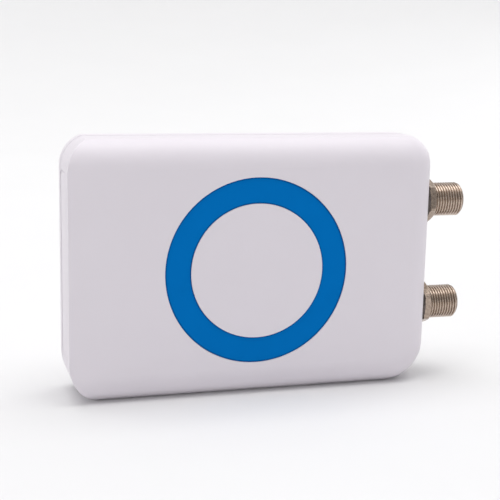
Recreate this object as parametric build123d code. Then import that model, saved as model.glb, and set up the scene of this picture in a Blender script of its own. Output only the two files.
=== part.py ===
from build123d import *
import math
import os

# RF modulator: a small white box that puts audio and video on a television channel.
# Millimetres. X runs along the width, left to right seen from the front, Y runs from
# the front face to the rear, and Z is up. The box stands on one long edge. The origin
# is on that edge, midway along the casing, under the plane that the sockets' axes lie in.
# Everything is modelled about the casing's mid-height and lifted by half its height
# when it is written.

# Casing, over the outside, without the connectors and the feet
CASE_WIDTH = 99.6
CASE_HEIGHT = 68.8
FRONT_DEPTH = 10.0
REAR_DEPTH = 10.6
WALL = 2.0
UPPER_LEFT_CORNER = 8.5
LOWER_LEFT_CORNER = 11.6
UPPER_RIGHT_CORNER = 8.6
LOWER_RIGHT_CORNER = 11.8
FRONT_ROUND = 8.0
REAR_ROUND = 3.0
EDGE_FLAT = 0.6
RIGHT_END_FLAT = 1.6
PARTING_Y = 4.6
SHADOW_GROOVE_WIDTH = 0.5
SHADOW_GROOVE_DEPTH = 0.5
LIP_WALL = 0.9
LIP_HEIGHT = 1.5

# Clearances
SEAM_GAP = 0.12
LIP_GAP = 0.15
FIT_GAP = 0.02
SEAT_GAP = 0.2
HOLE_GAP = 0.15

# How far a cutting shape runs past what it cuts, and how far a rib sinks into its wall
OVERCUT = 1.0
SINK = 0.5

# Flat plate in the left end, with a shadow slot behind it
PLATE_TOP_MARGIN = 8.6
PLATE_BOTTOM_MARGIN = 11.4
PLATE_RIM = 3.0
PLATE_SLOT = 1.1
PLATE_CORNER = 2.4
PLATE_FLANGE = 1.0
PLATE_FLANGE_THICKNESS = 1.2

# Blue ring on the front face
RING_OUTER_RADIUS = 25.0
RING_INNER_RADIUS = 18.05
RING_GROOVE_DEPTH = 0.9
RING_RECESS = 0.25
RING_GAP = 0.06
RING_OFFSET_Z = -0.35

# Right end panel
PANEL_END_MARGIN = 4.8
PANEL_FRONT_Y = -6.0
PANEL_REAR_Y = 5.0
PANEL_CORNER = 4.5
PANEL_FLANGE = 1.0
PANEL_FLANGE_THICKNESS = 1.2

# Coaxial connectors, 3/8 inch thread, on the right end
CONNECTOR_PITCH = 29.8
CONNECTOR_LIFT = 1.3
CONNECTOR_RADIUS = 4.7
CONNECTOR_NECK_RADIUS = 4.4
CONNECTOR_STANDOUT = 12.2
CONNECTOR_TIP_CHAMFER = 0.7
CONNECTOR_BORE_RADIUS = 3.0
CONNECTOR_FLANGE_WIDTH = 11.0
CONNECTOR_FLANGE_THICKNESS = 2.4
NUT_WIDTH = 11.1
NUT_THICKNESS = 2.0
NUT_CHAMFER = 0.5
UPPER_NUT_TURN = 44.0
LOWER_NUT_TURN = 0.0
WASHER_RADIUS = 5.9
WASHER_THICKNESS = 1.3
INSULATOR_RECESS = 0.4
INSULATOR_TAIL = 1.2
INSULATOR_TAIL_RADIUS = 1.6
CONTACT_RADIUS = 0.5
CONTACT_COLLAR_RADIUS = 0.8
CONTACT_SLOT_WIDTH = 0.25
CONTACT_DEPTH = 2.0
CONTACT_TAIL = 4.4

# Circuit board
BOARD_THICKNESS = 1.6
BOARD_EDGE_GAP = 3.4
BOARD_LEFT_INSET = 5.7
BOARD_CORNER = 2.0
BOARD_SETBACK = 0.5
BOARD_NOTCH_GAP = 0.3

# Power jack, above the lower connector
POWER_JACK_ABOVE = 11.0
POWER_JACK_SIZE = 9.0
POWER_JACK_LENGTH = 12.5
POWER_JACK_CHAMFER = 1.0
POWER_JACK_BORE_RADIUS = 3.0
POWER_PANEL_HOLE_RADIUS = 3.3
POWER_JACK_BACK_WALL = 1.6
POWER_PIN_RADIUS = 1.05
POWER_PIN_LENGTH = 9.5
POWER_GROOVE_WIDTH = 2.0
POWER_LEAF_WIDTH = 1.6
POWER_LEAF_THICKNESS = 0.4
POWER_LEAF_END_GAP = 0.4
POWER_LEAF_END_DEPTH = 0.5
POWER_LEAF_BEND_GAP = 0.1

# Audio and video jack, under the upper connector
AV_JACK_BELOW = 10.2
AV_JACK_SIZE = 6.2
AV_JACK_LENGTH = 12.0
AV_NOSE_RADIUS = 3.0
AV_NOSE_GAP = 0.1
AV_BORE_RADIUS = 1.8
AV_BACK_WALL = 1.0
AV_SLOT_SETBACK = 1.0
AV_SLOT_LENGTH = 4.0
AV_SLOT_WIDTH = 2.0
AV_SLOT_FLOOR = 0.3
AV_CONTACT_THICKNESS = 0.3
AV_LEAF_LENGTH = 3.0
AV_LEAF_WIDTH = 1.6
AV_TAIL_WIDTH = 1.0
AV_TAIL_REACH = 1.5
AV_TAIL_PITCH = 2.5

# Channel switch, below the lower connector
SWITCH_BELOW = 10.3
SWITCH_TRAVEL = 2.4
SWITCH_FRAME_LENGTH = 8.4
SWITCH_FRAME_WIDTH = 4.2
SWITCH_FRAME_DEPTH = 4.4
SWITCH_FRAME_WALL = 0.5
SWITCH_KNOB_LENGTH = 2.4
SWITCH_KNOB_WIDTH = 2.0
SWITCH_KNOB_STANDOUT = 1.2
SWITCH_RIDGE_PITCH = 0.6
SWITCH_RIDGE_DEPTH = 0.3
SWITCH_CARRIER_LENGTH = 4.2
SWITCH_CARRIER_THICKNESS = 1.2
SWITCH_GAP = 0.2
SWITCH_BASE_THICKNESS = 0.8
SWITCH_TERMINAL_REACH = 1.5
SWITCH_TERMINAL_PITCH = 2.5
SWITCH_TERMINAL_WIDTH = 0.8
SWITCH_TERMINAL_THICKNESS = 0.5

# Screws and feet
SCREW_X = 24.0
SCREW_Z = 23.5
SCREW_RADIUS = 1.3
SCREW_TIP_CHAMFER = 0.5
SCREW_HEAD_RADIUS = 2.6
SCREW_HEAD_HEIGHT = 1.7
SCREW_HEAD_CHAMFER = 0.5
SCREW_CROSS_LENGTH = 2.8
SCREW_CROSS_WIDTH = 0.6
SCREW_CROSS_DEPTH = 0.9
SCREW_RECESS_RADIUS = 3.0
SCREW_SEAT_DEPTH = 3.4
SCREW_LENGTH = 12.0
BOSS_RADIUS = 3.2
FOOT_X = 35.0
FOOT_Z = 21.0
FOOT_RADIUS = 4.5
FOOT_THICKNESS = 1.6
FOOT_CHAMFER = 0.5
FOOT_RECESS = 0.7
FOOT_GAP = 0.1

# Shield can on the front side of the board
CAN_LEFT_X = -8.0
CAN_WIDTH = 38.0
CAN_HALF_HEIGHT = 18.5
CAN_DEPTH = 6.0
CAN_SHEET = 0.4
CAN_DIVIDER_X = 12.0
CAN_PASSAGE_WIDTH = 6.0
CAN_PASSAGE_DEPTH = 1.5
LID_SKIRT = 2.0
LID_GAP = 0.05
LID_CUT_WIDTH = 0.6
LID_CUTS_ALONG = 5
LID_CUTS_UP = 3
LID_HOLE_RADIUS = 1.6

# Parts on the board, each with the X and Z of its middle
CHIP_X, CHIP_Z = 2.0, -8.0
CHIP_LENGTH = 10.0
CHIP_WIDTH = 4.0
CHIP_THICKNESS = 1.6
CHIP_LIFT = 0.3
LEADS_PER_SIDE = 8
LEAD_PITCH = 1.27
LEAD_THICKNESS = 0.4
LEAD_REACH = 1.1
LEAD_FOOT = 0.3
LEAD_HEIGHT = 0.5
COIL_X, COIL_Z = 2.0, 9.0
COIL_SIZE = 7.0
COIL_HEIGHT = 5.0
COIL_ROUND = 0.6
COIL_BORE_RADIUS = 2.0
COIL_BORE_FLOOR = 1.0
COIL_CORE_GAP = 0.1
COIL_CORE_DEPTH = 0.5
COIL_CORE_SLOT = 0.6
CRYSTAL_X, CRYSTAL_Z = 21.0, -12.0
CRYSTAL_LENGTH = 11.0
CRYSTAL_WIDTH = 4.4
CRYSTAL_HEIGHT = 3.6
CRYSTAL_ROUND = 2.1
CHOKE_SPOTS = [(18.0, 10.0), (25.0, 10.0)]
CHOKE_RADIUS = 2.4
CHOKE_HEIGHT = 4.4
CHOKE_FLANGE = 0.8
CHOKE_WAIST_RADIUS = 1.7
CORE_X, CORE_Z = 21.0, -2.0
CORE_LENGTH = 7.0
CORE_HEIGHT = 4.0
CORE_WIDTH = 5.6
CORE_ROUND = 1.9
CORE_HOLE_RADIUS = 0.9
CORE_HOLE_PITCH = 3.2
REGULATOR_X, REGULATOR_Z = -34.0, -10.0
REGULATOR_WIDTH = 6.6
REGULATOR_LENGTH = 6.0
REGULATOR_THICKNESS = 1.8
REGULATOR_TAB = 0.5
REGULATOR_TAB_REACH = 1.3
REGULATOR_LEG_WIDTH = 0.8
REGULATOR_LEG_REACH = 2.5
REGULATOR_LEG_PITCH = 2.3
CAPACITOR_SPOTS = [(-16.0, -12.0), (-16.0, -3.5), (-25.0, -12.0), (-16.0, 6.0)]
CAPACITOR_RADII = [3.15, 3.15, 2.5, 2.5]
CAPACITOR_HEIGHTS = [7.0, 7.0, 6.0, 6.0]
CAPACITOR_CHAMFER = 0.4
CRIMP_LIFT = 1.1
CRIMP_WIDTH = 0.5
CRIMP_DEPTH = 0.3
DIODE_SPOTS = [(-34.0, 4.0), (-34.0, 8.0), (-34.0, 12.0), (-34.0, 16.0)]
DIODE_RADIUS = 1.35
DIODE_LENGTH = 5.2
DIODE_LIFT = 1.4
DIODE_LEAD_RADIUS = 0.35
DIODE_LEAD_SPAN = 8.8
CHIP_ROW_HEIGHTS = [(-24.0, 0.6), (24.0, 0.8)]
CHIP_ROW_START = -14.0
CHIP_ROW_PITCH = 5.0
CHIP_ROW_COUNT = 6
CHIP_PART_LENGTH = 2.0
CHIP_PART_WIDTH = 1.2

# Places that follow from the sizes above
LEFT_X = -CASE_WIDTH / 2
RIGHT_X = CASE_WIDTH / 2
FRONT_Y = -FRONT_DEPTH
REAR_Y = REAR_DEPTH
HALF_HEIGHT = CASE_HEIGHT / 2
LEFT_CORNER = max(UPPER_LEFT_CORNER, LOWER_LEFT_CORNER)
RIGHT_CORNER = max(UPPER_RIGHT_CORNER, LOWER_RIGHT_CORNER)
PLATE_TOP_Z = HALF_HEIGHT - PLATE_TOP_MARGIN
PLATE_BOTTOM_Z = PLATE_BOTTOM_MARGIN - HALF_HEIGHT
PLATE_FRONT_Y = FRONT_Y + PLATE_RIM
PANEL_HALF_HEIGHT = HALF_HEIGHT - PANEL_END_MARGIN
INNER_FRONT_Y = FRONT_Y + WALL
INNER_REAR_Y = REAR_Y - WALL
PANEL_INNER_X = RIGHT_X - WALL - PANEL_FLANGE_THICKNESS
BOARD_HALF_HEIGHT = HALF_HEIGHT - WALL - BOARD_EDGE_GAP
BOARD_FRONT_Y = CONTACT_RADIUS
BOARD_REAR_Y = BOARD_FRONT_Y + BOARD_THICKNESS
BOARD_RIGHT_X = PANEL_INNER_X - CONNECTOR_FLANGE_THICKNESS - BOARD_SETBACK
BOARD_LEFT_X = LEFT_X + BOARD_LEFT_INSET
SWITCH_NOTCH_X = PANEL_INNER_X - SWITCH_FRAME_DEPTH - SWITCH_BASE_THICKNESS - BOARD_NOTCH_GAP
UPPER_Z = CONNECTOR_LIFT + CONNECTOR_PITCH / 2
LOWER_Z = CONNECTOR_LIFT - CONNECTOR_PITCH / 2
CONNECTOR_HEIGHTS = {"upper": UPPER_Z, "lower": LOWER_Z}
NUT_TURNS = {"upper": UPPER_NUT_TURN, "lower": LOWER_NUT_TURN}
POWER_JACK_Z = LOWER_Z + POWER_JACK_ABOVE
AV_JACK_Z = UPPER_Z - AV_JACK_BELOW
SWITCH_Z = LOWER_Z - SWITCH_BELOW
SCREW_SEAT_Y = REAR_Y - SCREW_SEAT_DEPTH
SCREW_SPOTS = [(x, z) for x in (-SCREW_X, SCREW_X) for z in (-SCREW_Z, SCREW_Z)]
FOOT_SPOTS = [(x, z) for x in (-FOOT_X, FOOT_X) for z in (-FOOT_Z, FOOT_Z)]


def block(x0, x1, y0, y1, z0, z1):
    """A plain box between two corners."""
    middle = Pos((x0 + x1) / 2, (y0 + y1) / 2, (z0 + z1) / 2)
    return middle * Box(x1 - x0, y1 - y0, z1 - z0)


def rod_x(radius, x0, x1, y=0.0, z=0.0):
    """A cylinder along X from x0 to x1."""
    return Pos((x0 + x1) / 2, y, z) * Rot(0, 90, 0) * Cylinder(radius, x1 - x0)


def rod_y(radius, y0, y1, x=0.0, z=0.0):
    """A cylinder along Y from y0 to y1."""
    return Pos(x, (y0 + y1) / 2, z) * Rot(90, 0, 0) * Cylinder(radius, y1 - y0)


def hex_x(width, x0, x1, z=0.0, turn=0.0):
    """A hexagonal prism along X, turned by an angle from two flats facing up and down."""
    plane = Plane(origin=(x0, 0, z), x_dir=(0, 1, 0), z_dir=(1, 0, 0))
    return extrude(plane * RegularPolygon(width / math.sqrt(3), 6, rotation=turn), x1 - x0)


def slab_x(x0, x1, y0, y1, z0, z1, corner):
    """A plate square to X whose outline is a rounded rectangle."""
    plane = Plane(origin=(x0, (y0 + y1) / 2, (z0 + z1) / 2), x_dir=(0, 1, 0), z_dir=(1, 0, 0))
    return extrude(plane * RectangleRounded(y1 - y0, z1 - z0, corner), x1 - x0)


def casing_outline(left, right, top, inset):
    """Front view of the casing: a rectangle with its own radius at each corner."""
    outline = Pos((left + right) / 2, 0) * Rectangle(right - left, 2 * top)
    corners = [
        (left, top, UPPER_LEFT_CORNER),
        (left, -top, LOWER_LEFT_CORNER),
        (right, top, UPPER_RIGHT_CORNER),
        (right, -top, LOWER_RIGHT_CORNER),
    ]
    for x, z, radius in corners:
        nearest = outline.vertices().sort_by_distance((x, z, 0))[0]
        outline = fillet(nearest, radius - inset)
    return outline


def casing_form(inset):
    """The rounded body, drawn in by the inset on every side."""
    left = LEFT_X + inset
    right = RIGHT_X + RIGHT_END_FLAT - inset
    top = HALF_HEIGHT + EDGE_FLAT - inset
    plane = Plane(origin=(0, REAR_Y - inset, 0), x_dir=(1, 0, 0), z_dir=(0, -1, 0))
    rear_form = extrude(plane * casing_outline(left, right, top, inset), FRONT_DEPTH + REAR_DEPTH)
    rear_form = fillet(rear_form.faces().sort_by(Axis.Y)[-1].edges(), REAR_ROUND - inset)
    # The front rounding runs on past the left end, which cuts it off at a sharp edge.
    far_left = left - 2 * FRONT_ROUND
    plane = Plane(origin=(0, FRONT_Y + inset, 0), x_dir=(1, 0, 0), z_dir=(0, -1, 0))
    front_form = extrude(plane * casing_outline(far_left, right, top, inset), -(FRONT_DEPTH + REAR_DEPTH))
    front_form = fillet(front_form.faces().sort_by(Axis.Y)[0].edges(), FRONT_ROUND - inset)
    spare = CASE_WIDTH
    flats = block(-spare, RIGHT_X - inset, -spare, spare, inset - HALF_HEIGHT, HALF_HEIGHT - inset)
    return front_form & rear_form & flats


def plate_slab(x0, x1, y0, y1, margin):
    """A slab in the left end, larger than the plate by a margin at its top and bottom."""
    return slab_x(x0, x1, y0, y1, PLATE_BOTTOM_Z - margin, PLATE_TOP_Z + margin, PLATE_CORNER)


def panel_slab(x0, x1, margin):
    """A slab in the right end, larger than the panel by a margin all round."""
    half = PANEL_HALF_HEIGHT + margin
    return slab_x(x0, x1, PANEL_FRONT_Y - margin, PANEL_REAR_Y + margin, -half, half, PANEL_CORNER)


def casing_inside():
    """The hollow, with square pockets behind both ends for their plates."""
    y0 = PLATE_FRONT_Y - PLATE_FLANGE - 2 * SEAM_GAP
    left_pocket = plate_slab(LEFT_X + WALL, LEFT_X + LEFT_CORNER, y0, INNER_REAR_Y - WALL,
                             PLATE_FLANGE + SEAM_GAP)
    right_pocket = panel_slab(PANEL_INNER_X - SEAT_GAP, RIGHT_X - WALL, PANEL_FLANGE + SEAM_GAP)
    return casing_form(WALL) + left_pocket + right_pocket


def plate_opening():
    """The hole in the left end."""
    x1 = LEFT_X + WALL + OVERCUT
    return plate_slab(LEFT_X - OVERCUT, x1, PLATE_FRONT_Y - SEAM_GAP, PARTING_Y, SEAM_GAP)


def panel_opening():
    """The hole in the right end."""
    return panel_slab(RIGHT_X - WALL - OVERCUT, RIGHT_X + OVERCUT, SEAM_GAP)


def half_space(y0, y1):
    """Everything between two depths."""
    reach = CASE_WIDTH
    return block(-reach, reach, y0, y1, -reach, reach)


def lip_ring(outer_inset, height):
    """The step inside the parting line where the two halves locate each other."""
    ring = casing_form(outer_inset) - casing_inside()
    ring = ring & half_space(PARTING_Y, PARTING_Y + height)
    keep = block(LEFT_X + LEFT_CORNER, RIGHT_X - RIGHT_CORNER, FRONT_Y, REAR_Y, -HALF_HEIGHT, HALF_HEIGHT)
    return ring & keep


def shadow_groove():
    """The narrow step round the outside where the two halves meet."""
    band = half_space(PARTING_Y - SHADOW_GROOVE_WIDTH, PARTING_Y)
    return band - casing_form(SHADOW_GROOVE_DEPTH)


def ring_groove():
    """The shallow round channel in the front face that the ring lies in."""
    bottom = FRONT_Y + RING_GROOVE_DEPTH
    tool = rod_y(RING_OUTER_RADIUS, FRONT_Y - OVERCUT, bottom, z=RING_OFFSET_Z)
    return tool - rod_y(RING_INNER_RADIUS, FRONT_Y - 2 * OVERCUT, bottom + OVERCUT, z=RING_OFFSET_Z)


def front_shell():
    shell = (casing_form(0) - casing_inside()) & half_space(FRONT_Y - OVERCUT, PARTING_Y)
    shell = shell + lip_ring(WALL - LIP_WALL, LIP_HEIGHT)
    for x, z in SCREW_SPOTS:
        shell = shell + rod_y(BOSS_RADIUS, INNER_FRONT_Y - SINK, BOARD_FRONT_Y, x, z)
    for x, z in SCREW_SPOTS:
        tip = SCREW_SEAT_Y - SCREW_LENGTH - OVERCUT
        shell = shell - rod_y(SCREW_RADIUS + FIT_GAP, tip, PARTING_Y, x, z)
    return shell - ring_groove() - shadow_groove() - plate_opening() - panel_opening()


def rear_shell():
    shell = (casing_form(0) - casing_inside()) & half_space(PARTING_Y, REAR_Y + OVERCUT)
    shell = shell - lip_ring(WALL - LIP_WALL - LIP_GAP, LIP_HEIGHT + LIP_GAP)
    for x, z in SCREW_SPOTS:
        shell = shell + rod_y(BOSS_RADIUS, BOARD_REAR_Y, INNER_REAR_Y + SINK, x, z)
    for x, z in SCREW_SPOTS:
        shell = shell - rod_y(SCREW_RECESS_RADIUS, SCREW_SEAT_Y, REAR_Y + OVERCUT, x, z)
        shell = shell - rod_y(SCREW_RADIUS + HOLE_GAP, BOARD_REAR_Y - OVERCUT, SCREW_SEAT_Y + OVERCUT, x, z)
    for x, z in FOOT_SPOTS:
        shell = shell - rod_y(FOOT_RADIUS + FOOT_GAP, REAR_Y - FOOT_RECESS, REAR_Y + OVERCUT, x, z)
    return shell - panel_opening()


def blue_ring():
    y0 = FRONT_Y + RING_RECESS
    y1 = FRONT_Y + RING_GROOVE_DEPTH
    disc = rod_y(RING_OUTER_RADIUS - RING_GAP, y0, y1, z=RING_OFFSET_Z)
    return disc - rod_y(RING_INNER_RADIUS + RING_GAP, y0 - OVERCUT, y1 + OVERCUT, z=RING_OFFSET_Z)


def left_end_plate():
    """The flat plate in the left end, flush outside, with a flange behind the wall."""
    front = PLATE_FRONT_Y
    rear = PARTING_Y - PLATE_SLOT
    inner = LEFT_X + WALL
    plate = plate_slab(LEFT_X, inner, front, rear, 0)
    flange = plate_slab(inner, inner + PLATE_FLANGE_THICKNESS, front - PLATE_FLANGE, rear + PLATE_FLANGE,
                        PLATE_FLANGE)
    return (plate + flange) & casing_form(0)


def right_end_panel():
    """The panel with the sockets, flush outside, with a flange behind the wall."""
    panel = panel_slab(PANEL_INNER_X, RIGHT_X, 0) + panel_slab(PANEL_INNER_X, RIGHT_X - WALL, PANEL_FLANGE)
    x0 = PANEL_INNER_X - OVERCUT
    x1 = RIGHT_X + OVERCUT
    for z in CONNECTOR_HEIGHTS.values():
        panel = panel - rod_x(CONNECTOR_NECK_RADIUS + HOLE_GAP, x0, x1, z=z)
    panel = panel - rod_x(POWER_PANEL_HOLE_RADIUS, x0, x1, z=POWER_JACK_Z)
    panel = panel - rod_x(AV_NOSE_RADIUS + AV_NOSE_GAP, x0, x1, z=AV_JACK_Z)
    return panel - switch_slot(x0, x1)


def connector_body(z):
    """Barrel with a neck in the panel and a hexagonal flange that bears on the panel's inside."""
    tip = RIGHT_X + CONNECTOR_STANDOUT
    neck_end = RIGHT_X + WASHER_THICKNESS + NUT_THICKNESS
    inner_end = PANEL_INNER_X - CONNECTOR_FLANGE_THICKNESS
    barrel = rod_x(CONNECTOR_RADIUS, neck_end, tip, z=z)
    barrel = chamfer(barrel.edges().sort_by(Axis.X)[-1], CONNECTOR_TIP_CHAMFER)
    barrel = barrel + rod_x(CONNECTOR_NECK_RADIUS, PANEL_INNER_X, neck_end, z=z)
    flange = hex_x(CONNECTOR_FLANGE_WIDTH, inner_end, PANEL_INNER_X, z)
    return barrel + flange - rod_x(CONNECTOR_BORE_RADIUS, inner_end - OVERCUT, tip + OVERCUT, z=z)


def connector_washer(z):
    x1 = RIGHT_X + WASHER_THICKNESS
    hole = rod_x(CONNECTOR_NECK_RADIUS + HOLE_GAP, RIGHT_X - OVERCUT, x1 + OVERCUT, z=z)
    return rod_x(WASHER_RADIUS, RIGHT_X, x1, z=z) - hole


def connector_nut(z, turn):
    """Hexagonal nut with its outer corners turned off, left at the angle it was tightened to."""
    x0 = RIGHT_X + WASHER_THICKNESS
    x1 = x0 + NUT_THICKNESS
    corner_radius = NUT_WIDTH / math.sqrt(3)
    cone = rod_x(corner_radius, x0, x1, z=z)
    cone = chamfer(cone.edges().sort_by(Axis.X)[-1], NUT_CHAMFER, corner_radius - NUT_WIDTH / 2)
    nut = hex_x(NUT_WIDTH, x0, x1, z, turn) & cone
    return nut - rod_x(CONNECTOR_NECK_RADIUS + FIT_GAP, x0 - OVERCUT, x1 + OVERCUT, z=z)


def connector_insulator(z):
    """White sleeve in the barrel, with a half-round tail that lies on the board."""
    inner_end = PANEL_INNER_X - CONNECTOR_FLANGE_THICKNESS
    x0 = inner_end - INSULATOR_TAIL
    x1 = RIGHT_X + CONNECTOR_STANDOUT - INSULATOR_RECESS
    sleeve = rod_x(CONNECTOR_BORE_RADIUS - FIT_GAP, inner_end, x1, z=z)
    tail = rod_x(INSULATOR_TAIL_RADIUS, x0, inner_end, z=z) & half_space(-REAR_Y, BOARD_FRONT_Y)
    return sleeve + tail - rod_x(CONTACT_COLLAR_RADIUS, x0 - OVERCUT, x1 + OVERCUT, z=z)


def connector_contact(z):
    """Centre contact, split at its tip, whose tail lies on the board."""
    tip = RIGHT_X + CONNECTOR_STANDOUT - INSULATOR_RECESS - CONTACT_DEPTH
    pin = rod_x(CONTACT_RADIUS, BOARD_RIGHT_X - CONTACT_TAIL, tip, z=z)
    collar = rod_x(CONTACT_COLLAR_RADIUS - FIT_GAP, PANEL_INNER_X, tip, z=z)
    bore = rod_x(CONTACT_RADIUS, RIGHT_X, tip + OVERCUT, z=z)
    half_slot = CONTACT_SLOT_WIDTH / 2
    slot = block(RIGHT_X, tip + OVERCUT, -half_slot, half_slot, z - OVERCUT, z + OVERCUT)
    return pin + collar - bore - slot


def power_jack_housing():
    """Black block with a round space for the plug and a groove for its side spring."""
    half = POWER_JACK_SIZE / 2
    x0 = PANEL_INNER_X - POWER_JACK_LENGTH
    z = POWER_JACK_Z
    housing = block(x0, PANEL_INNER_X, -half, half, z - half, z + half)
    housing = chamfer(housing.edges().filter_by(Axis.X).group_by(Axis.Y)[0], POWER_JACK_CHAMFER)
    x0 = x0 + POWER_JACK_BACK_WALL
    housing = housing - rod_x(POWER_JACK_BORE_RADIUS, x0, PANEL_INNER_X + OVERCUT, z=z)
    half_groove = POWER_GROOVE_WIDTH / 2
    return housing - block(x0, PANEL_INNER_X - WALL, -half - OVERCUT, 0, z - half_groove, z + half_groove)


def power_jack_pin():
    x0 = PANEL_INNER_X - POWER_JACK_LENGTH + POWER_JACK_BACK_WALL
    pin = rod_x(POWER_PIN_RADIUS, x0, x0 + POWER_PIN_LENGTH, z=POWER_JACK_Z)
    return fillet(pin.edges().sort_by(Axis.X)[-1], POWER_PIN_RADIUS / 2)


def power_jack_spring():
    """The leaf in the groove of the power jack that bears on the plug's sleeve."""
    x0 = PANEL_INNER_X - POWER_JACK_LENGTH + POWER_JACK_BACK_WALL + POWER_LEAF_END_GAP
    x1 = PANEL_INNER_X - WALL - POWER_LEAF_END_GAP
    end_y = POWER_LEAF_END_DEPTH - POWER_JACK_SIZE / 2
    bend_y = -POWER_JACK_BORE_RADIUS - POWER_LEAF_BEND_GAP
    path = Polyline((x0, end_y), ((x0 + x1) / 2, bend_y), (x1, end_y))
    outline = offset(path, amount=POWER_LEAF_THICKNESS / 2, kind=Kind.INTERSECTION)
    leaf = Plane.XY.offset(POWER_JACK_Z) * make_face(outline.edges())
    return extrude(leaf, POWER_LEAF_WIDTH / 2, both=True)


def av_jack_housing():
    """Black block with a nose in the panel, a bore for the plug and a slot for the contact."""
    half = AV_JACK_SIZE / 2
    z = AV_JACK_Z
    x0 = PANEL_INNER_X - AV_JACK_LENGTH
    housing = block(x0, PANEL_INNER_X, -half, half, z - half, z + half)
    housing = housing + rod_x(AV_NOSE_RADIUS, PANEL_INNER_X, RIGHT_X, z=z)
    x0 = x0 + AV_BACK_WALL
    bore = rod_x(AV_BORE_RADIUS, x0, RIGHT_X + OVERCUT, z=z)
    half_slot = AV_SLOT_WIDTH / 2
    x0 = x0 + AV_SLOT_SETBACK
    slot = block(x0, x0 + AV_SLOT_LENGTH, -half - OVERCUT, -AV_BORE_RADIUS - AV_SLOT_FLOOR,
                 z - half_slot, z + half_slot)
    return housing - bore - slot


def av_jack_contacts():
    """A flat spring contact in the slot, and three tails beside the housing."""
    half = AV_JACK_SIZE / 2
    x0 = PANEL_INNER_X - AV_JACK_LENGTH + AV_BACK_WALL + AV_SLOT_SETBACK
    half_leaf = AV_LEAF_WIDTH / 2
    thick = AV_CONTACT_THICKNESS
    leaf = block(x0, x0 + AV_LEAF_LENGTH, -half, thick - half, AV_JACK_Z - half_leaf, AV_JACK_Z + half_leaf)
    found = [leaf]
    z0 = AV_JACK_Z + half
    for step in range(3):
        x = x0 + AV_SLOT_SETBACK + step * AV_TAIL_PITCH
        found.append(block(x, x + AV_TAIL_WIDTH, BOARD_FRONT_Y - thick, BOARD_FRONT_Y,
                           z0, z0 + AV_TAIL_REACH))
    return found


def switch_slot(x0, x1):
    """The space that the knob needs over its whole travel."""
    half_slot = (SWITCH_KNOB_LENGTH + SWITCH_TRAVEL) / 2 + SWITCH_GAP
    half_width = SWITCH_KNOB_WIDTH / 2 + SWITCH_GAP
    return block(x0, x1, -half_width, half_width, SWITCH_Z - half_slot, SWITCH_Z + half_slot)


def switch_frame():
    """Pressed steel cover of the slide switch, open at the rear."""
    x0 = PANEL_INNER_X - SWITCH_FRAME_DEPTH
    half_y = SWITCH_FRAME_WIDTH / 2
    half_z = SWITCH_FRAME_LENGTH / 2
    wall = SWITCH_FRAME_WALL
    cover = block(x0, PANEL_INNER_X, -half_y, half_y, SWITCH_Z - half_z, SWITCH_Z + half_z)
    cover = cover - block(x0 - OVERCUT, PANEL_INNER_X - wall, wall - half_y, half_y - wall,
                          SWITCH_Z - half_z + wall, SWITCH_Z + half_z - wall)
    return cover - switch_slot(x0, RIGHT_X)


def channel_slider():
    """Ridged knob and its carrier, at the lower end of the travel."""
    z = SWITCH_Z - SWITCH_TRAVEL / 2
    half = SWITCH_KNOB_LENGTH / 2
    side = SWITCH_KNOB_WIDTH / 2
    x1 = PANEL_INNER_X - SWITCH_FRAME_WALL - SWITCH_GAP / 2
    carrier_y = SWITCH_FRAME_WIDTH / 2 - SWITCH_FRAME_WALL - SWITCH_GAP
    carrier_z = SWITCH_CARRIER_LENGTH / 2
    carrier = block(x1 - SWITCH_CARRIER_THICKNESS, x1, -carrier_y, carrier_y, z - carrier_z, z + carrier_z)
    tip = RIGHT_X + SWITCH_KNOB_STANDOUT
    knob = block(x1, tip, -side, side, z - half, z + half)
    quarter = SWITCH_RIDGE_PITCH / 4
    for step in (-1, 0, 1):
        cut = z + step * SWITCH_RIDGE_PITCH
        knob = knob - block(tip - SWITCH_RIDGE_DEPTH, tip + OVERCUT, -side - OVERCUT, side + OVERCUT,
                            cut - quarter, cut + quarter)
    return carrier + knob


def switch_base():
    """Insulating base behind the switch cover, with three terminals that reach the board."""
    x1 = PANEL_INNER_X - SWITCH_FRAME_DEPTH
    x0 = x1 - SWITCH_BASE_THICKNESS
    half_y = SWITCH_FRAME_WIDTH / 2
    half_z = SWITCH_FRAME_LENGTH / 2
    base = block(x0, x1, -half_y, half_y, SWITCH_Z - half_z, SWITCH_Z + half_z)
    half = SWITCH_TERMINAL_WIDTH / 2
    for step in (-1, 0, 1):
        z = SWITCH_Z + step * SWITCH_TERMINAL_PITCH
        base = base + block(SWITCH_NOTCH_X - SWITCH_TERMINAL_REACH, x0,
                            BOARD_FRONT_Y - SWITCH_TERMINAL_THICKNESS, BOARD_FRONT_Y, z - half, z + half)
    return base


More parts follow.
